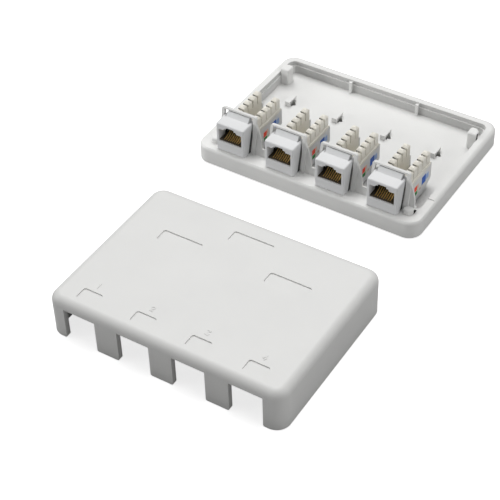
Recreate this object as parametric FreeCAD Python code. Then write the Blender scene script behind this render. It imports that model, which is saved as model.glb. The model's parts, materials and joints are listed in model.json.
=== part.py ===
import FreeCAD, Part
import os

os.makedirs("parts", exist_ok=True)

V = FreeCAD.Vector

# How far a fused piece reaches into the one that carries it
EMBED = 0.5

# All sizes are in millimetres. The base stands on z = 0 with its outline centred on the
# origin, its ports look along -Y, and the cover lies in front of it on the same plane.

# Base tray outline
BASE_W = 112.0
BASE_D = 82.6
BASE_CORNER_R = 6.5
RIM_TOP = 9.1
SHELF_DROP = 0.4
SHELF_TOP = RIM_TOP - SHELF_DROP
SHELF_STEP_Y = -22.2
RIM_ROUND = 2.0
FOOT_CUT = 0.5

# Tray pocket, with the small ledge round the inside of the rim
FLOOR_TOP = 2.8
RIM_WIDTH = 4.1
LEDGE_WIDTH = 0.6
LEDGE_Z = RIM_TOP - 2.3
POCKET_X = BASE_W / 2 - RIM_WIDTH
POCKET_BACK_Y = BASE_D / 2 - RIM_WIDTH
POCKET_FRONT_Y = -31.0
POCKET_CORNER_R = 3.2
UNDER_CORE_WALL = 2.2
UNDER_CORE_ROOF = 2.2
UNDER_CORE_CORNER_SHARE = 0.45

# Port bays
PORT_COUNT = 4
PORT_PITCH = 25.4
PORT_X = [(i - (PORT_COUNT - 1) / 2) * PORT_PITCH for i in range(PORT_COUNT)]

# Nose of each jack
NOSE_W = 14.5
NOSE_H = 14.8
NOSE_FRONT_Y = -39.2
NOSE_BOTTOM = SHELF_TOP
NOSE_TOP = NOSE_BOTTOM + NOSE_H
NOSE_EDGE_CUT = 0.4

# Frames that hold the jacks, leaning back from the shelf
BAY_CLEARANCE = 0.3
BAY_HALF = NOSE_W / 2 + BAY_CLEARANCE
FRAME_FOOT_Y = -34.6
FRAME_THICK = 1.6
FRAME_LEAN = 10.5
FRAME_EMBED = 1.8
POST_W = 1.35
FRAME_OPEN_TOP = 26.15
FRAME_TOP = 26.95
FRAME_TOP_R = 1.0

# The opening of a frame widens downwards on its right, beside the nose
FLARE_W = 0.5
FLARE_TOP = 23.6
FLARE_LOW = 16.5

# Webs on the right of the frames: a cheek at the frame's face, then a thinner plate whose
# edge falls to a low wall. Its points are steps out from the post and heights.
CHEEK_W = 1.5
CHEEK_TOP = 21.5
WEB_LAP = 0.4
WEB_SET_BACK = 0.6
LOW_WALL_TOP = 12.6
WEB_EDGE = [(0.1, 23.6), (1.4, 21.1), (2.3, 19.0), (3.3, 16.2), (3.7, 14.5), (4.1, LOW_WALL_TOP)]

# Snap blocks in the corners, with a socket in the outer face of each
BLOCK_W = 4.4
BLOCK_D = 5.0
BLOCK_TOP = 11.4
BLOCK_OUTER_X = 51.25
BLOCK_EDGE_CUT = 0.7
BLOCK_CORNER_CUT = 1.7
BLOCK_TOP_CUT = 0.4
BLOCK_BACK_Y = 27.7
BLOCK_FRONT_Y = -34.0
SOCKET_D = 3.0
SOCKET_DEPTH = 3.4
SOCKET_BOTTOM = 6.4
SOCKET_TOP = 10.9
SOCKET_BACK_Y = BLOCK_BACK_Y
SOCKET_FRONT_Y = BLOCK_FRONT_Y + 1.0
WEB_END_X = BLOCK_OUTER_X - 0.45

# Small ribs on the back wall and tie anchors on the floor
RIB_PLACES = [-18.8, 16.4]
RIB_W = 1.4
RIB_DEPTH = 1.3
RIB_FOOT = 0.5
RIB_TOP = RIM_TOP - 0.5
ANCHOR_W = 2.5
ANCHOR_SHIFT_X = 0.4
ANCHOR_FRONT_Y = 10.8
ANCHOR_LENGTH = 6.4
ANCHOR_H = 2.5
ANCHOR_LEG = 1.0
ANCHOR_BAR = 0.8
ANCHOR_REACH = 1.8
ANCHOR_REACH_SHARE = 0.4

# Cover
COVER_W = 108.0
COVER_D = 79.0
COVER_H = 19.6
COVER_CORNER_R = 6.0
COVER_TOP_R = 4.0
COVER_WALL = 2.4
COVER_ROOF = 1.8
NOTCH_CLEARANCE = 0.2
NOTCH_HALF = NOSE_W / 2 + NOTCH_CLEARANCE
NOTCH_TOP = 15.1
LEG_EDGE_R = 0.8
COVER_X = 9.0
COVER_Y = -121.9
COVER_TURN = 0.7

# Recesses and port numbers on the cover top
LABEL_W = 19.0
LABEL_D = 6.4
LABEL_CORNER_R = 1.0
LABEL_DEPTH = 0.5
LABEL_PLACES = [(-PORT_PITCH, 12.8), (0.0, 26.6), (PORT_PITCH, 12.8)]
TAG_W = 9.2
TAG_D = 6.0
TAG_Y = -31.4
DIGIT_H = 2.4
DIGIT_W = 1.4
DIGIT_STROKE = 0.4
DIGIT_RAISE = 0.2
DIGIT_Y = -24.9

# Snap bumps inside the cover walls
BUMP_D = 2.6
BUMP_REACH = 0.9
BUMP_BOTTOM = 0.2
BUMP_TOP = 1.3
BUMP_LAND = 0.5

# Jack housing
BODY_HALF = NOSE_W / 2
BODY_BOTTOM = 3.6
BODY_SEAT_Z = 15.6
BODY_BACK_Y = -6.8
BODY_NECK_BACK_Y = -29.4
HEEL_START_Y = -14.0
HEEL_TOP_Z = 7.4
LATCH_HALF = 5.7
LATCH_FOOT_Y = -33.2
LATCH_CREST_Y = -31.5
LATCH_RISE = 1.9
LATCH_SLIT_W = 0.4
LATCH_SLIT_DEPTH = 0.5

# Plug opening: eight-way socket with its latch slot at the top
PLUG_HALF = 5.9
PLUG_BOTTOM = 13.9
PLUG_TOP = 20.4
PLUG_BACK_Y = -27.4
KEY_HALF = 3.2
KEY_TOP = 21.3
SLOT_HALF = 2.0
SLOT_TOP = 22.2
SLOT_BACK_Y = BODY_NECK_BACK_Y - 1.0

# Contacts and the carrier under them
CONTACT_COUNT = 8
CONTACT_PITCH = 1.02
CONTACT_W = 0.6
CONTACT_THICK = 0.35
CARRIER_HALF = PLUG_HALF
CARRIER_FRONT_Y = NOSE_FRONT_Y + 0.7
CARRIER_PLATE = 0.5
CARRIER_WALL = 0.8
COMB_DEPTH = 1.4
COMB_RISE = 0.5
COMB_CLEARANCE = 0.05
CONTACT_END_Z = 18.9
CONTACT_INSET = 0.2
CONTACT_FOOT = 1.0
CONTACT_TAIL = 1.2

# Terminal block on top of the housing
BLOCK_FRONT = BODY_NECK_BACK_Y
SEAT_HALF = 7.6
SEAT_TOP = 16.9
ROW_OUTER = 6.4
ROW_INNER = 3.3
ROW_SHIFT = 0.5
ROW_TOP = 22.6
TOOTH_PITCH = 4.0
TOOTH_COUNT = 5
TOOTH_GAP = 1.1
TOOTH_CHAMFER = 0.9
ROW_FRONT_Y = -27.0
ROW_BACK_Y = ROW_FRONT_Y + TOOTH_COUNT * TOOTH_PITCH - TOOTH_GAP
SLOT_FLOOR_Z = 20.4
SLIT_W = 0.5
SLIT_FLOOR_Z = 17.5
BRIDGE_HALF = 6.9
BRIDGE_TOP = 21.2
BRIDGE_THICK = 3.4
LINER_OUTER = 5.1
LINER_FLOOR = 1.0

# Well in the housing for the lower half of the terminal block, open at the back
WELL_CLEARANCE = 0.2
WELL_HALF = LINER_OUTER + ROW_SHIFT + WELL_CLEARANCE
WELL_FLOOR_Z = 7.6
WELL_FRONT_Y = BLOCK_FRONT + BRIDGE_THICK - WELL_CLEARANCE
WELL_BACK_Y = ROW_BACK_Y + WELL_CLEARANCE

# Circuit board on the floor of the well, and the blades that stand on it
BOARD_HALF = 5.6
BOARD_THICK = 1.0
BOARD_FRONT_Y = -25.2
BOARD_BACK_Y = -8.6
BOARD_TOP = WELL_FLOOR_Z + BOARD_THICK
LINER_BOTTOM = BOARD_TOP + WELL_CLEARANCE
CHANNEL_FLOOR_Z = LINER_BOTTOM + LINER_FLOOR
BLADE_W = 2.6
BLADE_THICK = 0.4
BLADE_TOP = 21.3
BLADE_SLIT = 0.4
BLADE_SLIT_DEPTH = 3.4
BLADE_CLEARANCE = 0.05
BLADE_X = (LINER_OUTER + ROW_INNER) / 2

# Colour-code stickers on the housing sides
STICKER_THICK = 0.12
STICKER_FRONT_Y = -26.4
STICKER_BACK_Y = -7.6
STICKER_BOTTOM = 7.2
STICKER_TOP = 15.2
STICKER_CUT = 2.2


def box(x0, x1, y0, y1, z0, z1):
    return Part.makeBox(x1 - x0, y1 - y0, z1 - z0, V(x0, y0, z0))


def rounded_outline(x0, x1, y0, y1, r, z):
    # Closed wire: a rectangle with four quarter-circle corners.
    k = r * (1 - 0.5 ** 0.5)
    edges = [
        Part.makeLine(V(x0 + r, y0, z), V(x1 - r, y0, z)),
        Part.Arc(V(x1 - r, y0, z), V(x1 - k, y0 + k, z), V(x1, y0 + r, z)).toShape(),
        Part.makeLine(V(x1, y0 + r, z), V(x1, y1 - r, z)),
        Part.Arc(V(x1, y1 - r, z), V(x1 - k, y1 - k, z), V(x1 - r, y1, z)).toShape(),
        Part.makeLine(V(x1 - r, y1, z), V(x0 + r, y1, z)),
        Part.Arc(V(x0 + r, y1, z), V(x0 + k, y1 - k, z), V(x0, y1 - r, z)).toShape(),
        Part.makeLine(V(x0, y1 - r, z), V(x0, y0 + r, z)),
        Part.Arc(V(x0, y0 + r, z), V(x0 + k, y0 + k, z), V(x0 + r, y0, z)).toShape(),
    ]
    return Part.Wire(edges)


def rounded_block(x0, x1, y0, y1, r, z0, z1):
    face = Part.Face(rounded_outline(x0, x1, y0, y1, r, z0))
    return face.extrude(V(0, 0, z1 - z0))


def side_prism(points, x0, x1):
    # A side view given as (y, z) points, drawn out from x0 to x1.
    corners = [V(x0, y, z) for y, z in points]
    face = Part.Face(Part.makePolygon(corners + corners[:1]))
    return face.extrude(V(x1 - x0, 0, 0))


def front_prism(points, y0, y1):
    # A front view given as (x, z) points, drawn out from y0 to y1.
    corners = [V(x, y0, z) for x, z in points]
    face = Part.Face(Part.makePolygon(corners + corners[:1]))
    return face.extrude(V(0, y1 - y0, 0))


def level_edges(shape, z):
    # Edges that lie wholly in one horizontal plane.
    found = []
    for edge in shape.Edges:
        bb = edge.BoundBox
        if abs(bb.ZMin - z) < 1e-4 and abs(bb.ZMax - z) < 1e-4:
            found.append(edge)
    return found


def edges_in(shape, x0, x1, y0, y1, z0, z1):
    # Edges whose whole bounding box lies inside the given box.
    found = []
    for edge in shape.Edges:
        bb = edge.BoundBox
        if bb.XMin >= x0 and bb.XMax <= x1 and bb.YMin >= y0 and bb.YMax <= y1:
            if bb.ZMin >= z0 and bb.ZMax <= z1:
                found.append(edge)
    return found


def fuse_all(shapes):
    whole = shapes[0]
    for shape in shapes[1:]:
        whole = whole.fuse(shape)
    return whole.removeSplitter()


def tray_shell():
    # Outer block with rounded edges, then the lower front shelf and the two-step pocket.
    half_w = BASE_W / 2
    half_d = BASE_D / 2
    shell = rounded_block(-half_w, half_w, -half_d, half_d, BASE_CORNER_R, 0, RIM_TOP)
    shell = shell.makeFillet(RIM_ROUND, level_edges(shell, RIM_TOP))
    shell = shell.makeChamfer(FOOT_CUT, level_edges(shell, 0))
    shell = shell.cut(box(-half_w, half_w, -half_d, SHELF_STEP_Y, SHELF_TOP, RIM_TOP))
    upper = rounded_block(-POCKET_X, POCKET_X, POCKET_FRONT_Y, POCKET_BACK_Y,
                          POCKET_CORNER_R, LEDGE_Z, RIM_TOP)
    inset = POCKET_X - LEDGE_WIDTH
    lower = rounded_block(-inset, inset, POCKET_FRONT_Y, POCKET_BACK_Y - LEDGE_WIDTH,
                          POCKET_CORNER_R, FLOOR_TOP, LEDGE_Z)
    # The core's corners are as round as its wall is thick, or less where it gets narrow.
    core_front = -half_d + UNDER_CORE_WALL
    core_back = POCKET_FRONT_Y - UNDER_CORE_WALL
    core_r = min(UNDER_CORE_WALL, UNDER_CORE_CORNER_SHARE * (core_back - core_front))
    core = rounded_block(-half_w + UNDER_CORE_WALL, half_w - UNDER_CORE_WALL, core_front,
                         core_back, core_r, 0, SHELF_TOP - UNDER_CORE_ROOF)
    return shell.cut(upper).cut(lower).cut(core)


def bay_frame(cx):
    # Upright arch with rounded shoulders, one jack wide inside.
    outer_half = BAY_HALF + POST_W
    arch = box(cx - outer_half, cx + outer_half, 0, FRAME_THICK,
               SHELF_TOP - FRAME_EMBED, FRAME_TOP)
    shoulders = edges_in(arch, cx - outer_half - 1, cx + outer_half + 1, -1, FRAME_THICK + 1,
                         FRAME_TOP - 0.1, FRAME_TOP + 0.1)
    across = [e for e in shoulders if e.BoundBox.XLength < 0.1]
    arch = arch.makeFillet(FRAME_TOP_R, across)
    left, right = cx - BAY_HALF, cx + BAY_HALF
    bottom = SHELF_TOP - FRAME_EMBED
    gap = front_prism([(left, bottom), (left, FRAME_OPEN_TOP), (right, FRAME_OPEN_TOP),
                       (right, FLARE_TOP), (right + FLARE_W, FLARE_LOW),
                       (right + FLARE_W, bottom)], 0, FRAME_THICK)
    return arch.cut(gap)


def bay_web(cx, end_x):
    # Web on the right of a frame: narrow at the top, sweeping out into the low wall.
    post_x = cx + BAY_HALF + POST_W
    inner_x = post_x - WEB_LAP
    bottom = SHELF_TOP - FRAME_EMBED
    cheek_x = post_x - WEB_LAP + CHEEK_W
    top_z = WEB_EDGE[0][1]
    cheek = front_prism([(inner_x, bottom), (inner_x, top_z), (post_x, top_z),
                         (cheek_x, CHEEK_TOP), (cheek_x, bottom)], 0, FRAME_THICK)
    edge = [(min(post_x + step, end_x), z) for step, z in WEB_EDGE]
    x_end = max(edge[-1][0], end_x)
    points = [(inner_x, bottom), (inner_x, top_z)] + edge
    if x_end > edge[-1][0] + 0.01:
        points.append((x_end, LOW_WALL_TOP))
    points.append((x_end, bottom))
    web = front_prism(points, WEB_SET_BACK, FRAME_THICK)
    return cheek.fuse(web)


def bay_wall():
    # All four frames and webs, built upright and then leaned back about the shelf.
    pieces = []
    for i, cx in enumerate(PORT_X):
        pieces.append(bay_frame(cx))
        if i + 1 < PORT_COUNT:
            end_x = PORT_X[i + 1] - BAY_HALF - POST_W / 2
        else:
            end_x = WEB_END_X
        pieces.append(bay_web(cx, end_x))
    wall = fuse_all(pieces)
    wall.translate(V(0, FRAME_FOOT_Y, 0))
    wall.rotate(V(0, FRAME_FOOT_Y, SHELF_TOP), V(1, 0, 0), -FRAME_LEAN)
    return wall


def snap_block(side, cy):
    # Corner block standing from the floor.
    inner_x = BLOCK_OUTER_X - BLOCK_W
    y0 = cy - BLOCK_D / 2
    y1 = cy + BLOCK_D / 2
    block = box(inner_x, BLOCK_OUTER_X, y0, y1, FLOOR_TOP - EMBED, BLOCK_TOP)
    # The edge in the corner of the tray is cut back more, for the round of the cover.
    sign = 1 if cy > 0 else -1
    corner = edges_in(block, BLOCK_OUTER_X - 0.1, BLOCK_OUTER_X + 0.1, cy - BLOCK_D, cy + BLOCK_D,
                      0, BLOCK_TOP + 1)
    corner = [e for e in corner if e.BoundBox.ZLength > 1 and sign * (e.BoundBox.YMin - cy) > 0]
    block = block.makeChamfer(BLOCK_CORNER_CUT, corner)
    upright = [e for e in block.Edges if e.BoundBox.ZLength > 1 and
               abs(e.BoundBox.XMin - inner_x) < 0.01]
    block = block.makeChamfer(BLOCK_EDGE_CUT, upright)
    block = block.makeChamfer(BLOCK_TOP_CUT, level_edges(block, BLOCK_TOP))
    if side < 0:
        block = block.mirror(V(0, 0, 0), V(1, 0, 0))
    return block


def snap_socket(side, cy):
    # Room in the outer face of a corner block for a bump of the cover.
    x0, x1 = sorted((side * (BLOCK_OUTER_X - SOCKET_DEPTH), side * BLOCK_OUTER_X))
    return box(x0, x1, cy - SOCKET_D / 2, cy + SOCKET_D / 2, SOCKET_BOTTOM, SOCKET_TOP)


def wall_rib(x):
    # Upright rib on the back wall, with a small foot on the floor.
    y_wall = POCKET_BACK_Y + EMBED
    y_tip = POCKET_BACK_Y - LEDGE_WIDTH - RIB_DEPTH
    foot = y_tip - RIB_FOOT
    points = [(y_wall, FLOOR_TOP - EMBED), (foot, FLOOR_TOP - EMBED), (foot, FLOOR_TOP + RIB_FOOT),
              (y_tip, FLOOR_TOP + 2 * RIB_FOOT), (y_tip, RIB_TOP), (y_wall, RIB_TOP)]
    return side_prism(points, x - RIB_W / 2, x + RIB_W / 2)


def tie_anchor(cx):
    # Low bridge on the floor for a cable tie.
    return box(cx - ANCHOR_W, cx, ANCHOR_FRONT_Y, ANCHOR_FRONT_Y + ANCHOR_LENGTH,
               FLOOR_TOP - EMBED, FLOOR_TOP + ANCHOR_H)


def tie_slot(cx):
    # Way through under the bridge, and the hole in the floor where the tie comes up.
    y0 = ANCHOR_FRONT_Y + ANCHOR_LEG
    y1 = ANCHOR_FRONT_Y + ANCHOR_LENGTH - ANCHOR_LEG
    y_mid = y0 + (y1 - y0) * ANCHOR_REACH_SHARE
    way = box(cx - ANCHOR_W - 0.1, cx + 0.1, y0, y1, FLOOR_TOP, FLOOR_TOP + ANCHOR_H - ANCHOR_BAR)
    corners = [V(cx - ANCHOR_W / 2, y0, -1), V(cx, y0, -1), V(cx + ANCHOR_REACH, y_mid, -1),
               V(cx, y1, -1), V(cx - ANCHOR_W / 2, y1, -1)]
    outline = Part.makePolygon(corners + corners[:1])
    hole = Part.Face(outline).extrude(V(0, 0, FLOOR_TOP + 1.1))
    return way.fuse(hole)


def base_tray():
    pieces = [tray_shell(), bay_wall()]
    gaps = []
    for side in (-1, 1):
        for block_y, socket_y in ((BLOCK_BACK_Y, SOCKET_BACK_Y), (BLOCK_FRONT_Y, SOCKET_FRONT_Y)):
            pieces.append(snap_block(side, block_y))
            gaps.append(snap_socket(side, socket_y))
    for x in RIB_PLACES:
        pieces.append(wall_rib(x))
    for cx in PORT_X:
        pieces.append(tie_anchor(cx + ANCHOR_SHIFT_X))
        gaps.append(tie_slot(cx + ANCHOR_SHIFT_X))
    tray = fuse_all(pieces)
    for gap in gaps:
        tray = tray.cut(gap)
    return tray


def digit_strokes(number):
    # Strokes of a plain figure as centre lines, in units of its width and height.
    shapes = {
        1: [(0.25, 0.8, 0.5, 1.0), (0.5, 0.0, 0.5, 1.0)],
        2: [(0, 0.8, 0.2, 1), (0.2, 1, 0.8, 1), (0.8, 1, 1, 0.75), (1, 0.75, 0, 0), (0, 0, 1, 0)],
        3: [(0, 1, 1, 1), (1, 1, 0.5, 0.58), (0.5, 0.58, 1, 0.3), (1, 0.3, 0.7, 0), (0.7, 0, 0, 0.1)],
        4: [(0.7, 0, 0.7, 1), (0.7, 1, 0, 0.3), (0, 0.3, 1, 0.3)],
    }
    return shapes[number]


def digit(number, cx, cy):
    # Raised figure standing slightly proud of the cover top.
    bars = []
    for u0, v0, u1, v1 in digit_strokes(number):
        a = V(cx + (u0 - 0.5) * DIGIT_W, cy + (v0 - 0.5) * DIGIT_H, 0)
        b = V(cx + (u1 - 0.5) * DIGIT_W, cy + (v1 - 0.5) * DIGIT_H, 0)
        along = (b - a).normalize() * (DIGIT_STROKE / 2)
        across = V(-along.y, along.x, 0)
        lift = V(0, 0, COVER_H - EMBED)
        a = a - along + lift
        b = b + along + lift
        ring = [a + across, b + across, b - across, a - across, a + across]
        bars.append(Part.Face(Part.makePolygon(ring)).extrude(V(0, 0, EMBED + DIGIT_RAISE)))
    return fuse_all(bars)


def cover_shell():
    half_w = COVER_W / 2
    half_d = COVER_D / 2
    outer = rounded_block(-half_w, half_w, -half_d, half_d, COVER_CORNER_R, 0, COVER_H)
    outer = outer.makeFillet(COVER_TOP_R, level_edges(outer, COVER_H))
    inner_top = COVER_H - COVER_ROOF
    inner_r = COVER_CORNER_R - COVER_WALL
    inner = rounded_block(-half_w + COVER_WALL, half_w - COVER_WALL, -half_d + COVER_WALL,
                          half_d - COVER_WALL, inner_r, 0, inner_top)
    inner = inner.makeChamfer(COVER_TOP_R - COVER_WALL, level_edges(inner, inner_top))
    return outer.cut(inner)


def port_notches(shell):
    # Square notches for the noses; the feet left between them get rounded corners.
    front = -COVER_D / 2
    for cx in PORT_X:
        notch = box(cx - NOTCH_HALF, cx + NOTCH_HALF, front - 1, front + COVER_WALL + 2,
                    0, NOTCH_TOP)
        shell = shell.cut(notch)
    corners = []
    for edge in edges_in(shell, -COVER_W / 2, COVER_W / 2, front - 0.1, front + COVER_WALL + 0.1,
                         -0.01, 0.01):
        bb = edge.BoundBox
        if bb.YLength > COVER_WALL - 0.1 and bb.XLength < 0.01:
            corners.append(edge)
    return shell.makeFillet(LEG_EDGE_R, corners)


def snap_bump(side, cy):
    # Wedge inside a side wall: square above, sloped below so it can ride over the block.
    wall_x = COVER_W / 2 - COVER_WALL
    tip_x = wall_x - BUMP_REACH
    points = [(wall_x + EMBED, BUMP_BOTTOM), (wall_x, BUMP_BOTTOM), (tip_x, BUMP_TOP - BUMP_LAND),
              (tip_x, BUMP_TOP), (wall_x + EMBED, BUMP_TOP)]
    bump = front_prism([(side * x, z) for x, z in points], cy - BUMP_D / 2, cy + BUMP_D / 2)
    return bump


def cover():
    shell = port_notches(cover_shell())
    for cx, cy in LABEL_PLACES:
        shell = shell.cut(rounded_block(cx - LABEL_W / 2, cx + LABEL_W / 2, cy - LABEL_D / 2,
                                        cy + LABEL_D / 2, LABEL_CORNER_R,
                                        COVER_H - LABEL_DEPTH, COVER_H + 1))
    for cx in PORT_X:
        shell = shell.cut(rounded_block(cx - TAG_W / 2, cx + TAG_W / 2, TAG_Y - TAG_D / 2,
                                        TAG_Y + TAG_D / 2, LABEL_CORNER_R,
                                        COVER_H - LABEL_DEPTH, COVER_H + 1))
    pieces = [shell]
    for i, cx in enumerate(PORT_X):
        pieces.append(digit(i + 1, cx, DIGIT_Y))
    for side in (-1, 1):
        pieces.append(snap_bump(side, SOCKET_BACK_Y))
        pieces.append(snap_bump(side, SOCKET_FRONT_Y))
    whole = fuse_all(pieces)
    whole.rotate(V(0, 0, 0), V(0, 0, 1), COVER_TURN)
    whole.translate(V(COVER_X, COVER_Y, 0))
    return whole


def plug_opening():
    # Stepped hole of the eight-way socket: body, latch key and latch slot.
    front = NOSE_FRONT_Y - 1
    hole = box(-PLUG_HALF, PLUG_HALF, front, PLUG_BACK_Y, PLUG_BOTTOM, PLUG_TOP)
    key = box(-KEY_HALF, KEY_HALF, front, SLOT_BACK_Y, PLUG_TOP - EMBED, KEY_TOP)
    slot = box(-SLOT_HALF, SLOT_HALF, front, SLOT_BACK_Y, KEY_TOP - EMBED, SLOT_TOP)
    return hole.fuse(key).fuse(slot)


def jack_housing():
    # Nose and low body in one moulding, drawn out sideways from its side view.
    side_view = [(NOSE_FRONT_Y, NOSE_BOTTOM), (POCKET_FRONT_Y, NOSE_BOTTOM),
                 (POCKET_FRONT_Y, BODY_BOTTOM), (HEEL_START_Y, BODY_BOTTOM),
                 (BODY_BACK_Y, HEEL_TOP_Z), (BODY_BACK_Y, BODY_SEAT_Z),
                 (BODY_NECK_BACK_Y, BODY_SEAT_Z), (BODY_NECK_BACK_Y, NOSE_TOP),
                 (NOSE_FRONT_Y, NOSE_TOP)]
    body = side_prism(side_view, -BODY_HALF, BODY_HALF)
    rim = [e for e in body.Edges
           if e.BoundBox.YMax < NOSE_FRONT_Y + 0.01 or
           (abs(e.BoundBox.ZMin - NOSE_TOP) < 0.01 and e.BoundBox.YLength > 1)]
    body = body.makeChamfer(NOSE_EDGE_CUT, rim)
    latch = side_prism([(LATCH_FOOT_Y, NOSE_TOP - EMBED), (LATCH_FOOT_Y, NOSE_TOP),
                        (LATCH_CREST_Y, NOSE_TOP + LATCH_RISE),
                        (BODY_NECK_BACK_Y, NOSE_TOP + LATCH_RISE),
                        (BODY_NECK_BACK_Y, NOSE_TOP - EMBED)], -LATCH_HALF, LATCH_HALF)
    body = body.fuse(latch).cut(plug_opening())
    for side in (-1, 1):
        x0, x1 = sorted((side * LATCH_HALF, side * (LATCH_HALF + LATCH_SLIT_W)))
        body = body.cut(box(x0, x1, LATCH_FOOT_Y, BODY_NECK_BACK_Y, NOSE_TOP - LATCH_SLIT_DEPTH,
                            NOSE_TOP + 1))
    well = box(-WELL_HALF, WELL_HALF, WELL_FRONT_Y, WELL_BACK_Y, WELL_FLOOR_Z, BODY_SEAT_Z)
    window = box(ROW_SHIFT - ROW_INNER, ROW_SHIFT + ROW_INNER, WELL_BACK_Y, BODY_BACK_Y,
                 CHANNEL_FLOOR_Z, BODY_SEAT_Z)
    return body.cut(well).cut(window).removeSplitter()


def contact_x():
    return [(i - (CONTACT_COUNT - 1) / 2) * CONTACT_PITCH for i in range(CONTACT_COUNT)]


def contact_carrier():
    # Floor plate with a comb at the front and a wall at the back of the plug opening.
    plate_top = PLUG_BOTTOM + CARRIER_PLATE
    pieces = [
        box(-CARRIER_HALF, CARRIER_HALF, CARRIER_FRONT_Y, PLUG_BACK_Y, PLUG_BOTTOM, plate_top),
        box(-CARRIER_HALF, CARRIER_HALF, PLUG_BACK_Y - CARRIER_WALL, PLUG_BACK_Y, PLUG_BOTTOM,
            PLUG_TOP),
    ]
    rib_half = (CONTACT_PITCH - CONTACT_W) / 2 - COMB_CLEARANCE
    first = contact_x()[0] - CONTACT_PITCH / 2
    for i in range(CONTACT_COUNT + 1):
        x = first + i * CONTACT_PITCH
        pieces.append(box(x - rib_half, x + rib_half, CARRIER_FRONT_Y,
                          CARRIER_FRONT_Y + COMB_DEPTH, PLUG_BOTTOM, plate_top + COMB_RISE))
    return fuse_all(pieces)


def contact_set():
    # Eight springs that rise from the comb to the back wall of the carrier.
    z0 = PLUG_BOTTOM + CARRIER_PLATE
    y0 = CARRIER_FRONT_Y + CONTACT_INSET
    y1 = PLUG_BACK_Y - CARRIER_WALL
    t = CONTACT_THICK
    bend_low = y0 + CONTACT_FOOT
    bend_high = y1 - CONTACT_TAIL
    points = [(y0, z0), (bend_low, z0), (bend_high, CONTACT_END_Z - t), (y1, CONTACT_END_Z - t),
              (y1, CONTACT_END_Z), (bend_high - t / 2, CONTACT_END_Z), (bend_low - t / 2, z0 + t),
              (y0, z0 + t)]
    springs = []
    for x in contact_x():
        springs.append(side_prism(points, x - CONTACT_W / 2, x + CONTACT_W / 2))
    return Part.makeCompound(springs)


def tooth_slots_y():
    return [ROW_FRONT_Y + TOOTH_PITCH * (i + 1) - TOOTH_GAP / 2 for i in range(TOOTH_COUNT - 1)]


def tooth_row(side):
    # One row of five teeth on a tall wall that reaches down into the housing. The gap
    # between two teeth is the mouth of a narrow slit that grips the wire.
    row = box(ROW_INNER, ROW_OUTER, ROW_FRONT_Y, ROW_BACK_Y, SEAT_TOP - EMBED, ROW_TOP)
    for y in tooth_slots_y():
        row = row.cut(box(ROW_INNER - 1, ROW_OUTER + 1, y - TOOTH_GAP / 2, y + TOOTH_GAP / 2,
                          SLOT_FLOOR_Z, ROW_TOP + 1))
    row = row.makeChamfer(TOOTH_CHAMFER, level_edges(row, ROW_TOP))
    for y in tooth_slots_y():
        row = row.cut(box(ROW_INNER - 1, ROW_OUTER + 1, y - SLIT_W / 2, y + SLIT_W / 2,
                          SLIT_FLOOR_Z, SLOT_FLOOR_Z + EMBED))
    liner = box(ROW_INNER, LINER_OUTER, BLOCK_FRONT + BRIDGE_THICK, ROW_BACK_Y, LINER_BOTTOM,
                SEAT_TOP)
    row = row.fuse(liner)
    if side < 0:
        row = row.mirror(V(0, 0, 0), V(1, 0, 0))
    row.translate(V(ROW_SHIFT, 0, 0))
    return row


def terminal_block():
    # Seat round the top of the housing, two rows of teeth with a deep channel between, and
    # a front bridge that is hollow below for the back of the plug opening.
    channel_x = (ROW_SHIFT - ROW_INNER, ROW_SHIFT + ROW_INNER)
    channel_front = BLOCK_FRONT + BRIDGE_THICK
    seat = box(-SEAT_HALF, SEAT_HALF, BLOCK_FRONT, ROW_BACK_Y, BODY_SEAT_Z, SEAT_TOP)
    seat = seat.cut(box(*channel_x, channel_front, ROW_BACK_Y, BODY_SEAT_Z, SEAT_TOP))
    floor = box(*channel_x, channel_front, ROW_BACK_Y, LINER_BOTTOM, CHANNEL_FLOOR_Z)
    bridge = box(-BRIDGE_HALF, BRIDGE_HALF, BLOCK_FRONT, channel_front, BODY_SEAT_Z, BRIDGE_TOP)
    block = fuse_all([seat, floor, bridge, tooth_row(1), tooth_row(-1)])
    block = block.cut(box(-PLUG_HALF, PLUG_HALF, BLOCK_FRONT, PLUG_BACK_Y, BODY_SEAT_Z,
                          PLUG_TOP))
    c = BLADE_CLEARANCE
    for x, y in blade_places():
        block = block.cut(box(x - BLADE_THICK / 2 - c, x + BLADE_THICK / 2 + c,
                              y - BLADE_W / 2 - c, y + BLADE_W / 2 + c,
                              LINER_BOTTOM, BLADE_TOP + c))
    return block


def blade_places():
    return [(ROW_SHIFT + side * BLADE_X, y) for side in (-1, 1) for y in tooth_slots_y()]


def blade_set():
    # Eight forked blades that stand on the board, one in each wire slot.
    blades = []
    for x, y in blade_places():
        blade = box(x - BLADE_THICK / 2, x + BLADE_THICK / 2, y - BLADE_W / 2, y + BLADE_W / 2,
                    BOARD_TOP, BLADE_TOP)
        slit = box(x - 1, x + 1, y - BLADE_SLIT / 2, y + BLADE_SLIT / 2,
                   BLADE_TOP - BLADE_SLIT_DEPTH, BLADE_TOP + 1)
        blades.append(blade.cut(slit))
    return Part.makeCompound(blades)


def circuit_board():
    return box(-BOARD_HALF, BOARD_HALF, BOARD_FRONT_Y, BOARD_BACK_Y,
               BOARD_TOP - BOARD_THICK, BOARD_TOP)


def sticker(side):
    x0, x1 = sorted((side * BODY_HALF, side * (BODY_HALF + STICKER_THICK)))
    back_y = STICKER_BACK_Y
    points = [(STICKER_FRONT_Y, STICKER_BOTTOM), (back_y - STICKER_CUT, STICKER_BOTTOM),
              (back_y, STICKER_BOTTOM + STICKER_CUT), (back_y, STICKER_TOP),
              (STICKER_FRONT_Y, STICKER_TOP)]
    return side_prism(points, x0, x1)


def save(shape, name):
    shape.exportStep("parts/" + name + ".step")
    print(name, "solids", len(shape.Solids), "volume", round(shape.Volume, 1), shape.isValid())


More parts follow.
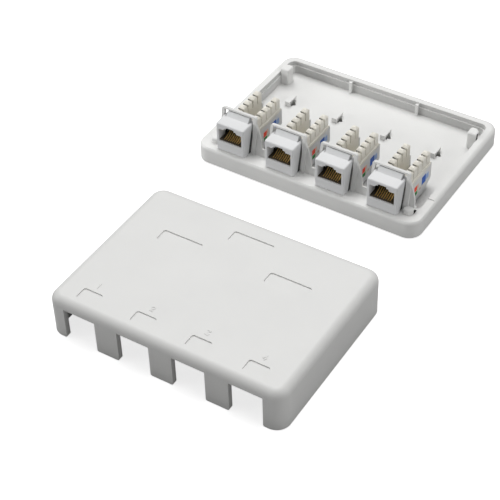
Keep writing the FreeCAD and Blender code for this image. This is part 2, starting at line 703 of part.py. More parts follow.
def save_jack(number, cx):
    # The same pieces for every port, moved to its bay.
    pieces = {
        "jack_housing": jack_housing(),
        "contact_carrier": contact_carrier(),
        "contacts": contact_set(),
        "terminal_block": terminal_block(),
        "blades": blade_set(),
        "circuit_board": circuit_board(),
        "sticker_left": sticker(-1),
        "sticker_right": sticker(1),
    }
    for name, shape in pieces.items():
        shape.translate(V(cx, 0, 0))
        save(shape, name + "_" + str(number))


save(base_tray(), "base_tray")
save(cover(), "cover")
for index, port_x in enumerate(PORT_X):
    save_jack(index + 1, port_x)
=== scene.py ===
# %% [markdown]
# # A surface mount jack box, opened for wiring
#
# The object is a flat white tray with four snap-in data jacks, and its cover laid in front.
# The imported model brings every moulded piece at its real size. This notebook gives the
# pieces their eased edges, their springs and blades, their finishes and a studio round them.

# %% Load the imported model
import json
import math

import bmesh
import bpy
from mathutils import Matrix, Vector

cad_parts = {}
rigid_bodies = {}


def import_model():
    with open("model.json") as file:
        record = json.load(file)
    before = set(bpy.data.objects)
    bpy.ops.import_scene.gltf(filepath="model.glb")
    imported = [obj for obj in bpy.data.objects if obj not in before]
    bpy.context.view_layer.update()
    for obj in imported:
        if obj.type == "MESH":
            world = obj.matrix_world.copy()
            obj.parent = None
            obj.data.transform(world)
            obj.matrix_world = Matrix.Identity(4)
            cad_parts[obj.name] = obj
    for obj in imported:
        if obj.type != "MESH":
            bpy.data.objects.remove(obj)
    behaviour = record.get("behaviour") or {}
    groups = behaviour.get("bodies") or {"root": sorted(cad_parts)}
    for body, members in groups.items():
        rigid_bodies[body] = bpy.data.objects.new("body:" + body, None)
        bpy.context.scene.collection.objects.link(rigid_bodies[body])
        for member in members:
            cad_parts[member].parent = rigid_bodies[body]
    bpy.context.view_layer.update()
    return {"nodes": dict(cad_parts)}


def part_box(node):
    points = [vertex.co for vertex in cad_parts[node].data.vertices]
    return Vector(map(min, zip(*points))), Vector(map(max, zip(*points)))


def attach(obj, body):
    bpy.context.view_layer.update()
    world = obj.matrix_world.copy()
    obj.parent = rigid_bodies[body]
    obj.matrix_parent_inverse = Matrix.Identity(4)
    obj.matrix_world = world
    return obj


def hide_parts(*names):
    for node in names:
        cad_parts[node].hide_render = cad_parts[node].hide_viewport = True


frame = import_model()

nodes = frame["nodes"]

# %% [markdown]
# ## Measures taken from the model
#
# Blender works in metres and the drawings are in millimetres, so one named factor turns
# one into the other. The places of the four jacks are read from the model's own boxes,
# so that a change of pitch there moves everything here too.

# %% Units and the four ports
MM = 0.001
PORTS = [1, 2, 3, 4]


def centre_x(node):
    low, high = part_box(node)
    return (low.x + high.x) / 2


port_x = [centre_x(f"jack_housing_{n}") for n in PORTS]
port_pitch = (port_x[-1] - port_x[0]) / (len(PORTS) - 1)
print("port centres in mm:", [round(x / MM, 2) for x in port_x])
print("port pitch in mm:", round(port_pitch / MM, 2))

# %% [markdown]
# ## Camera
#
# The camera looks down on the box from the front right. It is held by two angles, a small
# roll, and the place of the tray's centre in its view. Turning those into one matrix keeps
# the view exact, where aiming with a constraint would lose the roll.

# %% Camera
CAMERA_ELEVATION = math.radians(42.084)
CAMERA_AZIMUTH = math.radians(33.696)
CAMERA_ROLL = math.radians(-1.882)
CAMERA_DISTANCE = 653.032 * MM
CENTRE_RIGHT = 44.65 * MM
CENTRE_UP = 46.074 * MM
FOCAL_LENGTH_MM = 102.874
SENSOR_MM = 36.0


def make_camera():
    level = math.cos(CAMERA_ELEVATION)
    back = Vector((math.sin(CAMERA_AZIMUTH) * level, -math.cos(CAMERA_AZIMUTH) * level,
                   math.sin(CAMERA_ELEVATION)))
    right = Vector((math.cos(CAMERA_AZIMUTH), math.sin(CAMERA_AZIMUTH), 0))
    up = back.cross(right)
    rolled_right = right * math.cos(CAMERA_ROLL) + up * math.sin(CAMERA_ROLL)
    rolled_up = up * math.cos(CAMERA_ROLL) - right * math.sin(CAMERA_ROLL)
    place = back * CAMERA_DISTANCE - rolled_right * CENTRE_RIGHT - rolled_up * CENTRE_UP
    turn = Matrix((rolled_right, rolled_up, back)).transposed()
    data = bpy.data.cameras.new("camera")
    data.lens = FOCAL_LENGTH_MM
    data.sensor_width = SENSOR_MM
    camera = bpy.data.objects.new("camera", data)
    camera.matrix_world = Matrix.Translation(place) @ turn.to_4x4()
    bpy.context.scene.collection.objects.link(camera)
    bpy.context.scene.camera = camera
    return camera


camera = make_camera()
print("camera at", [round(v, 3) for v in camera.matrix_world.translation])

# %% [markdown]
# ## Light
#
# White plastic on a white ground shows its form only through soft shading. One very large
# lamp overhead, a little behind and to the left, lights the tops most. Two weak wide lamps,
# one at the right and one at the front left, and a pale surround keep the walls from going
# dark. All of them look at a place between the tray and the cover. The surround alone could
# light such a scene, but lamps can be moved and dimmed one by one. The plain Standard view
# keeps a white that is fully lit white, where the usual one would grey it.

# %% Lamp helper
LOOKED_AT = Vector((0, -60 * MM, 0))


def make_lamp(name, place, size, watts):
    data = bpy.data.lights.new(name, "AREA")
    data.shape = "SQUARE"
    data.size = size
    data.energy = watts
    lamp = bpy.data.objects.new(name, data)
    lamp.location = place
    lamp.rotation_euler = (LOOKED_AT - Vector(place)).to_track_quat("-Z", "Y").to_euler()
    bpy.context.scene.collection.objects.link(lamp)
    return lamp


print("lamps look at, in mm:", [round(v / MM) for v in LOOKED_AT])

# %% Surround
WHITE = (1.0, 1.0, 1.0, 1.0)
SURROUND_STRENGTH = 0.19


def make_surround(strength):
    # Dim as a lamp, but white where the eye looks past the floor.
    world = bpy.data.worlds.new("surround")
    world.use_nodes = True
    tree = world.node_tree
    lighting = tree.nodes["Background"]
    lighting.inputs["Color"].default_value = WHITE
    lighting.inputs["Strength"].default_value = strength
    seen = tree.nodes.new("ShaderNodeBackground")
    seen.inputs["Color"].default_value = WHITE
    ray = tree.nodes.new("ShaderNodeLightPath")
    pick = tree.nodes.new("ShaderNodeMixShader")
    tree.links.new(ray.outputs["Is Camera Ray"], pick.inputs[0])
    tree.links.new(lighting.outputs[0], pick.inputs[1])
    tree.links.new(seen.outputs[0], pick.inputs[2])
    tree.links.new(pick.outputs[0], tree.nodes["World Output"].inputs["Surface"])
    bpy.context.scene.world = world


make_surround(SURROUND_STRENGTH)
print("surround strength:", SURROUND_STRENGTH)

# %% Lamps
KEY_PLACE = (-0.35, 0.45, 1.5)
KEY_SIZE = 1.3
KEY_WATTS = 22.9
FILL_PLACE = (1.5, -0.15, 0.7)
FILL_SIZE = 1.0
FILL_WATTS = 5.2
FRONT_PLACE = (-1.15, -0.8, 0.50)
FRONT_SIZE = 0.9
FRONT_WATTS = 3.9

make_lamp("key", KEY_PLACE, KEY_SIZE, KEY_WATTS)
make_lamp("fill", FILL_PLACE, FILL_SIZE, FILL_WATTS)
make_lamp("front", FRONT_PLACE, FRONT_SIZE, FRONT_WATTS)
bpy.context.scene.view_settings.view_transform = "Standard"

# %% [markdown]
# ## A helper for finishes
#
# Every finish is a small graph of nodes that reads Object coordinates, in metres. The
# pieces all stand at the origin, so one pattern has the same scale on all of them. The
# helper starts a graph and keeps the few calls that every finish needs. Noise keeps mostly
# to the middle of its range, from 0.3 to 0.7, so that part is what spread stretches.

# %% Material helper
NOISE_LOW = 0.3
NOISE_HIGH = 0.7
# A Mix node has sockets for each kind of data, and these are its two colours and its result.
MIX_FIRST, MIX_SECOND, MIX_RESULT = 6, 7, 2


class Finish:
    """A material with its main shader, and short calls that add nodes to it."""

    def __init__(self, name, colour, roughness, metallic=0.0):
        self.material = bpy.data.materials.new(name)
        self.material.use_nodes = True
        self.tree = self.material.node_tree
        self.shader = self.tree.nodes["Principled BSDF"]
        self.shader.inputs["Base Color"].default_value = (*colour, 1.0)
        self.shader.inputs["Roughness"].default_value = roughness
        self.shader.inputs["Metallic"].default_value = metallic
        self.material.diffuse_color = (*colour, 1.0)
        coordinate = self.tree.nodes.new("ShaderNodeTexCoord")
        self.place = coordinate.outputs["Object"]
        axes = self.add("ShaderNodeSeparateXYZ")
        self.join(self.place, axes.inputs[0])
        self.x, self.y, self.z = axes.outputs

    def add(self, kind, **settings):
        node = self.tree.nodes.new(kind)
        for key, value in settings.items():
            setattr(node, key, value)
        return node

    def join(self, output, target):
        self.tree.links.new(output, target)

    def noise(self, size, detail=2.0, stretch=(1, 1, 1)):
        mapping = self.add("ShaderNodeMapping")
        mapping.inputs["Scale"].default_value = [s / size for s in stretch]
        self.join(self.place, mapping.inputs["Vector"])
        noise = self.add("ShaderNodeTexNoise")
        noise.inputs["Scale"].default_value = 1.0
        noise.inputs["Detail"].default_value = detail
        self.join(mapping.outputs["Vector"], noise.inputs["Vector"])
        return noise.outputs["Fac"]

    def spread(self, value, low, high, start=NOISE_LOW, end=NOISE_HIGH):
        node = self.add("ShaderNodeMapRange")
        node.inputs["From Min"].default_value = start
        node.inputs["From Max"].default_value = end
        node.inputs["To Min"].default_value = low
        node.inputs["To Max"].default_value = high
        self.join(value, node.inputs["Value"])
        return node.outputs["Result"]

    def work(self, operation, *values):
        node = self.add("ShaderNodeMath", operation=operation)
        for value, socket in zip(values, node.inputs):
            if isinstance(value, float):
                socket.default_value = value
            else:
                self.join(value, socket)
        return node.outputs[0]

    def band(self, value, low, high, soft):
        away = self.work("ABSOLUTE", self.work("SUBTRACT", value, (low + high) / 2))
        half = (high - low) / 2
        return self.spread(away, 1.0, 0.0, half, half + soft)

    def blend(self, factor, first, second):
        node = self.add("ShaderNodeMix", data_type="RGBA")
        self.join(factor, node.inputs["Factor"])
        for colour, index in ((first, MIX_FIRST), (second, MIX_SECOND)):
            if isinstance(colour, tuple):
                node.inputs[index].default_value = (*colour, 1.0)
            else:
                self.join(colour, node.inputs[index])
        return node.outputs[MIX_RESULT]

    def colour(self, output):
        self.join(output, self.shader.inputs["Base Color"])

    def roughness(self, output):
        self.join(output, self.shader.inputs["Roughness"])

    def bump(self, height, distance):
        node = self.add("ShaderNodeBump")
        node.inputs["Distance"].default_value = distance
        self.join(height, node.inputs["Height"])
        self.join(node.outputs["Normal"], self.shader.inputs["Normal"])


print("noise is stretched from", NOISE_LOW, "to", NOISE_HIGH)

# %% [markdown]
# ## Moulded plastics
#
# The tray and cover are off-white ABS from a spark-eroded mould, which leaves a fine even
# grain and a soft sheen. Three sizes of noise make it: a slow one varies the tone, one of a
# few millimetres varies the gloss, and a fine one, about a quarter of a millimetre across,
# is the grain. A picture of grain would blur close up, and noise doesn't.

# %% Moulded plastic
CLOUD_SIZE = 22.0 * MM
GLOSS_SIZE = 2.4 * MM
GRAIN_SIZE = 0.28 * MM


def moulded_plastic(name, light, dark, gloss, grain_height):
    finish = Finish(name, light, sum(gloss) / 2)
    cloud = finish.noise(CLOUD_SIZE, detail=3.0)
    finish.colour(finish.blend(finish.spread(cloud, 0.0, 1.0), light, dark))
    finish.roughness(finish.spread(finish.noise(GLOSS_SIZE), gloss[0], gloss[1]))
    finish.bump(finish.noise(GRAIN_SIZE, detail=1.0), grain_height)
    return finish


BOX_GRAIN = 0.012 * MM
JACK_GRAIN = 0.006 * MM

box_white = moulded_plastic("box_white", light=(0.735, 0.735, 0.722), dark=(0.715, 0.715, 0.703),
                            gloss=(0.42, 0.50), grain_height=BOX_GRAIN)
jack_white = moulded_plastic("jack_white", light=(0.672, 0.677, 0.682), dark=(0.652, 0.657, 0.662),
                             gloss=(0.34, 0.42), grain_height=JACK_GRAIN)
block_cream = moulded_plastic("block_cream", light=(0.765, 0.74, 0.67), dark=(0.74, 0.715, 0.645),
                              gloss=(0.40, 0.48), grain_height=JACK_GRAIN)
carrier_dark = moulded_plastic("carrier_dark", light=(0.070, 0.052, 0.029),
                               dark=(0.054, 0.040, 0.023), gloss=(0.38, 0.46),
                               grain_height=JACK_GRAIN)
plastics = [box_white, jack_white, block_cream, carrier_dark]
print("plastics made:", [plastic.material.name for plastic in plastics])

# %% [markdown]
# ## Deep shade
#
# Some narrow places of the real box are in deep shade: the gap between a jack and the frame
# it stands in, the wire slots between the teeth, and the sockets in the corner blocks. In
# the scene, light that bounces between white walls would fill them, so the plastic is
# darkened inside them. A mask marks each place. It is a product of soft-edged bands, each
# along one axis, and its numbers are millimetres in the model's frame.

# %% Shade helpers
SHADE = (0.012, 0.012, 0.012)
SHADE_SOFTNESS = 0.12 * MM


def band_mm(finish, value, ends):
    return finish.band(value, ends[0] * MM, ends[1] * MM, SHADE_SOFTNESS)


def shade(finish, mask):
    plain = finish.shader.inputs["Base Color"].links[0].from_socket
    finish.colour(finish.blend(mask, plain, SHADE))


print("edges of the shade are soft over, in mm:", SHADE_SOFTNESS / MM)

# %% [markdown]
# The painted shade in the gap beside a jack leans back with its frame, reaches a little further
# forward towards its foot, and gets lighter towards its top.

# %% Gaps beside the jacks
GAP_FRONT_Y = -35.5
GAP_FOOT_Z = 8.7
GAP_FOOT_SOFTNESS = 0.1
GAP_LEAN = 0.245
GAP_DEPTH = 1.7
GAP_FADE = (19.0, 23.4)
GAP_TOP_SHADE = 0.22


def gap_shade(finish):
    upright = finish.work("MULTIPLY_ADD", finish.z, -GAP_LEAN, finish.y)
    start = GAP_FRONT_Y - GAP_FOOT_Z * GAP_LEAN
    inside = band_mm(finish, upright, (start, start + GAP_DEPTH))
    above = finish.spread(finish.z, 0.0, 1.0, (GAP_FOOT_Z - GAP_FOOT_SOFTNESS) * MM,
                          GAP_FOOT_Z * MM)
    fade = finish.spread(finish.z, 1.0, GAP_TOP_SHADE, GAP_FADE[0] * MM, GAP_FADE[1] * MM)
    return finish.work("MULTIPLY", finish.work("MULTIPLY", inside, above), fade)


# Painted shade on the housing's sides, in and just in front of the gap to the frame.
shade(jack_white, gap_shade(jack_white))
print("gaps shaded on:", jack_white.material.name)

# %% [markdown]
# The wire slots repeat along each row, and the rows repeat from jack to jack. Wrapping a
# coordinate at the pitch folds all of them onto one, so one mask serves for every slot.

# %% Wire slots
SLOT_FIRST_Y = -23.55
SLOT_PITCH = 4.0
SLOT_HALF = 0.6
SLOT_HEIGHTS = (20.4, 21.5)
SLOT_ROWS = (-25.8, -9.2)
SLOT_ENDS = [(-5.9, -5.0), (3.8, 4.7)]
SLOT_FADE = 1.4 * MM
SLOT_SHADE = 0.8


def slot_shade(finish):
    from_first = finish.work("SUBTRACT", finish.y, SLOT_FIRST_Y * MM)
    from_middle = finish.work("WRAP", from_first, SLOT_PITCH / 2 * MM, -SLOT_PITCH / 2 * MM)
    slot = finish.work("MULTIPLY", band_mm(finish, from_middle, (-SLOT_HALF, SLOT_HALF)),
                       band_mm(finish, finish.z, SLOT_HEIGHTS))
    rows = finish.work("MULTIPLY", slot, band_mm(finish, finish.y, SLOT_ROWS))
    from_jack = finish.work("WRAP", finish.work("SUBTRACT", finish.x, port_x[0]),
                            port_pitch / 2, -port_pitch / 2)
    left, right = [finish.band(from_jack, low * MM, high * MM, SLOT_FADE)
                   for low, high in SLOT_ENDS]
    deep = finish.work("MULTIPLY", finish.work("MAXIMUM", left, right), SLOT_SHADE)
    return finish.work("MULTIPLY", rows, deep)


shade(block_cream, slot_shade(block_cream))
print("slots shaded on:", block_cream.material.name)

# %% [markdown]
# The sockets lie in pairs, left and right, so one band on the distance from the middle marks
# both. The inner walls of the tray, at the back and on the left, get a little painted shade
# above and below their ledge, so that the ledge shows as a pale line.

# %% Sockets and inner walls
SOCKET_XS = (47.8, 51.1)
SOCKET_YS = [(-34.5, -31.5), (26.2, 29.2)]
SOCKET_HEIGHTS = (6.4, 10.9)
BACK_WALL_XS = (-52.4, 52.4)
BACK_WALL_YS = (36.2, 38.3)
LEFT_WALL_XS = (-53.0, -50.9)
LEFT_WALL_YS = (-21.9, 36.2)
LEFT_WALL_SHARE = 0.7
WALL_SHADE = 0.30
ABOVE_LEDGE = (7.0, 8.7)
BELOW_LEDGE = (2.9, 6.6)


def socket_shade(finish):
    across = band_mm(finish, finish.work("ABSOLUTE", finish.x), SOCKET_XS)
    front, back = [band_mm(finish, finish.y, ends) for ends in SOCKET_YS]
    inside = finish.work("MULTIPLY", across, finish.work("MAXIMUM", front, back))
    return finish.work("MULTIPLY", inside, band_mm(finish, finish.z, SOCKET_HEIGHTS))


def field(finish, reach_x, reach_y):
    return finish.work("MULTIPLY", band_mm(finish, finish.x, reach_x),
                       band_mm(finish, finish.y, reach_y))


def inner_wall_shade(finish):
    above, below = [finish.work("MULTIPLY", band_mm(finish, finish.z, heights), WALL_SHADE)
                    for heights in (ABOVE_LEDGE, BELOW_LEDGE)]
    back = field(finish, BACK_WALL_XS, BACK_WALL_YS)
    left = field(finish, LEFT_WALL_XS, LEFT_WALL_YS)
    face = finish.work("MAXIMUM", back, finish.work("MULTIPLY", left, LEFT_WALL_SHARE))
    return finish.work("MULTIPLY", face, finish.work("MAXIMUM", above, below))


shade(box_white, socket_shade(box_white))
# Painted shade on the inner back and left walls, above and below the ledge.
shade(box_white, inner_wall_shade(box_white))
print("sockets and inner walls shaded on:", box_white.material.name)

# %% [markdown]
# ## The lit table
#
# The floor is only a ground for the object. Such pictures are taken on a lit table: it looks
# white, and its own glow thins the shadows, yet it sends little light up at the walls. The
# two halves of the mix keep those apart: what the eye sees, and what lights the object. The
# floor lies a hair below the box, because two faces in the same plane would flicker.

# %% Table finish
SEEN_WHITE = 0.70
TABLE_GLOW = 0.75
TABLE_ROUGHNESS = 0.9
TABLE_SPECULAR = 0.1
BOUNCE_WHITE = 0.45
MOTTLE_SIZE = 0.35
MOTTLE = 0.01


def lit_table():
    finish = Finish("lit_table", (SEEN_WHITE,) * 3, TABLE_ROUGHNESS)
    finish.shader.inputs["Specular IOR Level"].default_value = TABLE_SPECULAR
    finish.shader.inputs["Emission Color"].default_value = WHITE
    finish.shader.inputs["Emission Strength"].default_value = TABLE_GLOW
    mottle = finish.spread(finish.noise(MOTTLE_SIZE), 0.0, 1.0)
    finish.colour(finish.blend(mottle, (SEEN_WHITE,) * 3, (SEEN_WHITE - MOTTLE,) * 3))
    bounce = finish.add("ShaderNodeBsdfDiffuse")
    bounce.inputs["Color"].default_value = (*(BOUNCE_WHITE,) * 3, 1.0)
    ray = finish.add("ShaderNodeLightPath")
    pick = finish.add("ShaderNodeMixShader")
    finish.join(ray.outputs["Is Camera Ray"], pick.inputs[0])
    finish.join(bounce.outputs[0], pick.inputs[1])
    finish.join(finish.shader.outputs[0], pick.inputs[2])
    finish.join(pick.outputs[0], finish.tree.nodes["Material Output"].inputs["Surface"])
    return finish.material


table_finish = lit_table()
print("table finish:", table_finish.name)

# %% Floor
FLOOR_SIZE = 12.0
FLOOR_DROP = 0.05 * MM


def make_floor(material):
    half = FLOOR_SIZE / 2
    corners = [(-half, -half), (half, -half), (half, half), (-half, half)]
    mesh = bpy.data.meshes.new("floor")
    mesh.from_pydata([(x, y, -FLOOR_DROP) for x, y in corners], [], [(0, 1, 2, 3)])
    mesh.materials.append(material)
    floor = bpy.data.objects.new("floor", mesh)
    bpy.context.scene.collection.objects.link(floor)
    return floor


floor = make_floor(table_finish)
print("floor:", FLOOR_SIZE, "m wide")

# %% [markdown]
# ## Metals and the board
#
# The contact springs are gold-plated wire, the blades tinned sheet. Drawn wire and rolled
# sheet carry fine lines along their length, so the noise is stretched that way. Anisotropic
# gloss would show such lines in its highlights alone. The wires carry painted shade towards
# their upper ends, deep in the plug opening. The board is glass laminate under green lacquer,
# with a faint weave.

# %% Gold-plated wire
WIRE_LINES = 0.25 * MM
WIRE_STRETCH = (1.0, 0.08, 0.4)
WIRE_GLOSS = (0.48, 0.62)
WIRE_SHADE = (0.05, 0.032, 0.014)
WIRE_SHADE_MOST = 0.85
WIRE_SHADE_HEIGHTS = (15.5 * MM, 18.8 * MM)
LINE_DEPTH = 0.004 * MM


def plated_wire():
    finish = Finish("plated_wire", (0.80, 0.56, 0.22), 0.5, metallic=1.0)
    streaks = finish.noise(WIRE_LINES, stretch=WIRE_STRETCH)
    tone = finish.spread(streaks, 0.0, 1.0)
    gold = finish.blend(tone, (0.86, 0.62, 0.26), (0.70, 0.47, 0.17))
    # Painted shade: the wire darkens towards its upper end, deep in the plug opening.
    deep = finish.spread(finish.z, 0.0, WIRE_SHADE_MOST, *WIRE_SHADE_HEIGHTS)
    finish.colour(finish.blend(deep, gold, WIRE_SHADE))
    finish.roughness(finish.spread(streaks, *WIRE_GLOSS))
    finish.bump(streaks, LINE_DEPTH)
    return finish.material


wire_gold = plated_wire()
print("spring finish:", wire_gold.name)

# %% Tinned sheet and board
SHEET_LINES = 0.2 * MM
SHEET_STRETCH = (1.0, 1.0, 0.1)
SHEET_GLOSS = (0.30, 0.46)
WEAVE_SIZE = 0.5 * MM
WEAVE_STRETCH = (1.0, 0.2, 1.0)
WEAVE_DEPTH = 0.008 * MM


def tinned_sheet():
    finish = Finish("tinned_sheet", (0.62, 0.61, 0.58), 0.38, metallic=1.0)
    lines = finish.noise(SHEET_LINES, stretch=SHEET_STRETCH)
    tone = finish.spread(lines, 0.0, 1.0)
    finish.colour(finish.blend(tone, (0.66, 0.65, 0.62), (0.52, 0.51, 0.48)))
    finish.roughness(finish.spread(lines, *SHEET_GLOSS))
    finish.bump(lines, LINE_DEPTH)
    return finish.material


def board_green():
    finish = Finish("board_green", (0.02, 0.10, 0.05), 0.4)
    weave = finish.noise(WEAVE_SIZE, stretch=WEAVE_STRETCH)
    tone = finish.spread(weave, 0.0, 1.0)
    finish.colour(finish.blend(tone, (0.022, 0.11, 0.055), (0.015, 0.075, 0.04)))
    finish.bump(weave, WEAVE_DEPTH)
    return finish.material


blade_tin = tinned_sheet()
board = board_green()
print("blade and board finishes:", blade_tin.name, board.name)

# %% [markdown]
# ## Wiring stickers
#
# A paper sticker on each side of a jack shows which wire goes where, as small fields of
# colour. The fields are painted by height and depth on the paper: each is a soft-edged
# rectangle, the product of two bands, and a paler field beside it stands for the striped
# wire of the pair. Thin faces laid on the paper would do too, but would need a gap to it.
# No lettering is drawn. Each field has its reach in depth and height, in millimetres, and
# its ink.

# %% Sticker
PAPER = (0.70, 0.70, 0.69)
PAPER_DARK = (0.66, 0.66, 0.65)
PAPER_GLOSS = (0.42, 0.58)
PAPER_SPECULAR = 0.25
FIBRE_SIZE = 0.9 * MM
FIBRE_DEPTH = 0.006 * MM
INK_SOFTNESS = 0.14 * MM
SOLID_FIELDS = [
    ((-23.0, -20.3), (9.6, 12.3), (0.90, 0.060, 0.012)),
    ((-22.8, -20.1), (7.2, 9.3), (0.010, 0.20, 0.025)),
    ((-16.0, -12.2), (9.0, 13.3), (0.004, 0.09, 0.46)),
]
PALE_FIELDS = [
    ((-20.3, -18.9), (10.2, 12.4), (0.80, 0.50, 0.38)),
    ((-20.3, -18.9), (7.6, 9.4), (0.50, 0.66, 0.50)),
    ((-12.2, -9.6), (9.6, 12.6), (0.28, 0.42, 0.70)),
    ((-12.2, -10.4), (12.9, 13.9), (0.62, 0.66, 0.74)),
    ((-18.3, -16.7), (7.8, 9.0), (0.55, 0.42, 0.36)),
    ((-15.7, -12.3), (7.8, 8.9), (0.66, 0.64, 0.60)),
]


def ink_band(finish, value, low, high):
    return finish.band(value, low * MM + INK_SOFTNESS, high * MM - INK_SOFTNESS,
                       2 * INK_SOFTNESS)


def wiring_sticker():
    finish = Finish("wiring_sticker", PAPER, 0.5)
    finish.shader.inputs["Specular IOR Level"].default_value = PAPER_SPECULAR
    fibre = finish.noise(FIBRE_SIZE, detail=4.0)
    printed = finish.blend(finish.spread(fibre, 0.0, 1.0), PAPER, PAPER_DARK)
    for depth, height, ink in PALE_FIELDS + SOLID_FIELDS:
        inked = finish.work("MULTIPLY", ink_band(finish, finish.y, *depth),
                            ink_band(finish, finish.z, *height))
        printed = finish.blend(inked, printed, ink)
    finish.colour(printed)
    finish.roughness(finish.spread(fibre, *PAPER_GLOSS))
    finish.bump(fibre, FIBRE_DEPTH)
    return finish.material


sticker_paper = wiring_sticker()
print("sticker fields:", len(SOLID_FIELDS) + len(PALE_FIELDS))

# %% [markdown]
# ## Eased edges
#
# A mould never leaves a knife edge, and the thin bright line along an eased edge is what
# makes plastic read as plastic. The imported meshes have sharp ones, so each moulded piece
# is copied, its loose triangles are merged, flat neighbours are joined, and a small bevel
# rounds what is still sharp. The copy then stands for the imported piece. Modelling the piece
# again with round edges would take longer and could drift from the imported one.

# %% Merged copies
FLAT_ANGLE = math.radians(0.4)
MERGE_DISTANCE = 0.0005 * MM


def merged_copy(node, name):
    mesh = nodes[node].data.copy()
    mesh.name = name
    mesh.materials.clear()
    editable = bmesh.new()
    editable.from_mesh(mesh)
    bmesh.ops.remove_doubles(editable, verts=editable.verts, dist=MERGE_DISTANCE)
    bmesh.ops.dissolve_limit(editable, angle_limit=FLAT_ANGLE, verts=editable.verts,
                             edges=editable.edges)
    editable.to_mesh(mesh)
    editable.free()
    piece = bpy.data.objects.new(name, mesh)
    bpy.context.scene.collection.objects.link(piece)
    return piece


print("corners merged within, in mm:", MERGE_DISTANCE / MM)

# %% Eased edges
SHARP_ANGLE = math.radians(32)
EASE_SEGMENTS = 2
FACE_WEIGHT = 100


def plain_result(piece):
    bpy.context.view_layer.update()
    seen = piece.evaluated_get(bpy.context.evaluated_depsgraph_get())
    mesh = bpy.data.meshes.new_from_object(seen)
    piece.modifiers.clear()
    piece.data = mesh
    return piece


def ease_edges(piece, width):
    bevel = piece.modifiers.new("ease", "BEVEL")
    bevel.width = width
    bevel.segments = EASE_SEGMENTS
    bevel.limit_method = "ANGLE"
    bevel.angle_limit = SHARP_ANGLE
    bevel.use_clamp_overlap = True
    plain_result(piece)
    piece.data.shade_smooth()
    piece.data.set_sharp_from_angle(angle=SHARP_ANGLE)
    flat = piece.modifiers.new("flat faces", "WEIGHTED_NORMAL")
    flat.keep_sharp = True
    flat.weight = FACE_WEIGHT
    return plain_result(piece)


print("edges sharper than", round(math.degrees(SHARP_ANGLE)), "degrees are eased")

# %% Tray and cover
def dress(piece, material, body, replaced):
    piece.data.materials.clear()
    piece.data.materials.append(material)
    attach(piece, body)
    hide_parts(*replaced)


def eased_piece(node, name, width, material, body):
    piece = ease_edges(merged_copy(node, name), width)
    dress(piece, material, body, [node])
    return piece


TRAY_EDGE = 0.22 * MM
COVER_EDGE = 0.16 * MM

tray = eased_piece("base_tray", "tray_moulding", TRAY_EDGE, box_white.material,
                   "base")
lid = eased_piece("cover", "cover_moulding", COVER_EDGE, box_white.material,
                  "cover")
print("tray faces:", len(tray.data.polygons), "cover faces:", len(lid.data.polygons))

# %% Housings and terminal blocks
HOUSING_EDGE = 0.16 * MM
BLOCK_EDGE = 0.14 * MM

for n in PORTS:
    eased_piece(f"jack_housing_{n}", f"housing_{n}", HOUSING_EDGE, jack_white.material,
                "base")
    eased_piece(f"terminal_block_{n}", f"punch_block_{n}", BLOCK_EDGE, block_cream.material,
                "base")
print("jacks eased:", len(PORTS))

# %% [markdown]
# ## Trees for what repeats
#
# Springs and blades come in rows of the same part, so each is drawn once in a Geometry
# Nodes tree and copied onto points. The tree has named inputs for its sizes. It ends by
# making the copies real and giving them their finish, because instances are lost when the
# model is saved for other programs.

# %% Helpers to start a tree
def start_tree(name, sizes):
    tree = bpy.data.node_groups.new(name, "GeometryNodeTree")
    tree.interface.new_socket("Geometry", in_out="OUTPUT", socket_type="NodeSocketGeometry")
    for label, value in sizes.items():
        kind = "NodeSocketInt" if isinstance(value, int) else "NodeSocketFloat"
        tree.interface.new_socket(label, in_out="INPUT", socket_type=kind)
    tree.interface.new_socket("Finish", in_out="INPUT", socket_type="NodeSocketMaterial")
    tree.nodes.new("NodeGroupInput").name = "Sizes"
    return tree


def size_of(tree, label):
    return tree.nodes["Sizes"].outputs[label]


def feed(tree, source, target):
    if hasattr(source, "is_output"):
        tree.links.new(source, target)
    else:
        target.default_value = source


def work(tree, operation, first, second):
    node = tree.nodes.new("ShaderNodeMath")
    node.operation = operation
    feed(tree, first, node.inputs[0])
    feed(tree, second, node.inputs[1])
    return node.outputs[0]


def point(tree, x, y, z):
    node = tree.nodes.new("ShaderNodeCombineXYZ")
    for value, socket in zip((x, y, z), node.inputs):
        feed(tree, value, socket)
    return node.outputs[0]


print("helpers for sizes are ready")


# %% Helpers to repeat, end and grow a tree
def copies(tree, shape, count, start, step):
    line = tree.nodes.new("GeometryNodeMeshLine")
    line.mode = "OFFSET"
    feed(tree, count, line.inputs["Count"])
    feed(tree, start, line.inputs["Start Location"])
    feed(tree, step, line.inputs["Offset"])
    place = tree.nodes.new("GeometryNodeInstanceOnPoints")
    feed(tree, line.outputs["Mesh"], place.inputs["Points"])
    feed(tree, shape, place.inputs["Instance"])
    return place.outputs["Instances"]


def end_tree(tree, shape):
    real = tree.nodes.new("GeometryNodeRealizeInstances")
    feed(tree, shape, real.inputs["Geometry"])
    smooth = tree.nodes.new("GeometryNodeSetShadeSmooth")
    feed(tree, real.outputs["Geometry"], smooth.inputs["Geometry"])
    finish = tree.nodes.new("GeometryNodeSetMaterial")
    feed(tree, smooth.outputs["Geometry"], finish.inputs["Geometry"])
    feed(tree, size_of(tree, "Finish"), finish.inputs["Material"])
    out = tree.nodes.new("NodeGroupOutput")
    feed(tree, finish.outputs["Geometry"], out.inputs["Geometry"])
    return tree


def grow(name, tree, sizes, material):
    piece = bpy.data.objects.new(name, bpy.data.meshes.new(name))
    bpy.context.scene.collection.objects.link(piece)
    modifier = piece.modifiers.new("grow", "NODES")
    modifier.node_group = tree
    for item in tree.interface.items_tree:
        if item.in_out == "INPUT":
            modifier[item.identifier] = material if item.name == "Finish" else sizes[item.name]
    return plain_result(piece)


print("helpers to grow a tree are ready")

